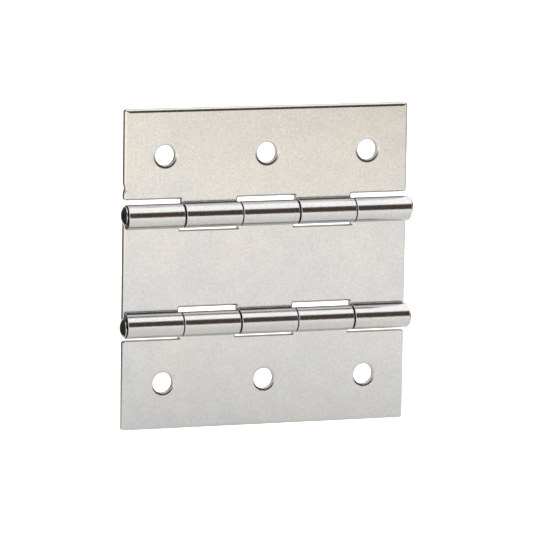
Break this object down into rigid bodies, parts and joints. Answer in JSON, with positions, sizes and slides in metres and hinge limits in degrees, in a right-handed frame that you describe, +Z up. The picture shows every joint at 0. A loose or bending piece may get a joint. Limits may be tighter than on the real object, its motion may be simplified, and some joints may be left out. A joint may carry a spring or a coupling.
{
  "type": "double hinge",
  "caption": "Double hinge of pressed zinc-plated steel: outer leaves with screw holes fold on riveted pins at both edges of a plain centre leaf.",
  "frame": {"origin": "middle of the upper leaf's screw row, on the leaf's back face", "axes": "+X along the pins, +Y to the back, against the panel, +Z up from the lower leaf to the upper leaf"},
  "size_m": [0.0724, 0.0059, 0.0756],
  "materials": {
    "leaf_steel": "bright zinc plated sheet",
    "pin_steel": "bright zinc plated wire"
  },
  "bodies": {
    "upper": {"upper_leaf": "leaf_steel"},
    "centre": {"centre_leaf": "leaf_steel", "upper_pin": "pin_steel", "lower_pin": "pin_steel"},
    "lower": {"lower_leaf": "leaf_steel"}
  },
  "joints": [
    {"name": "upper_fold", "type": "hinge", "parent": "upper", "child": "centre", "pos_m": [0, -0.00295, -0.014], "axis": [-1, 0, 0], "range_deg": [-100, 175]},
    {"name": "lower_fold", "type": "hinge", "parent": "centre", "child": "lower", "pos_m": [0, -0.00295, -0.0396], "axis": [-1, 0, 0], "range_deg": [-100, 115]}
  ]
}
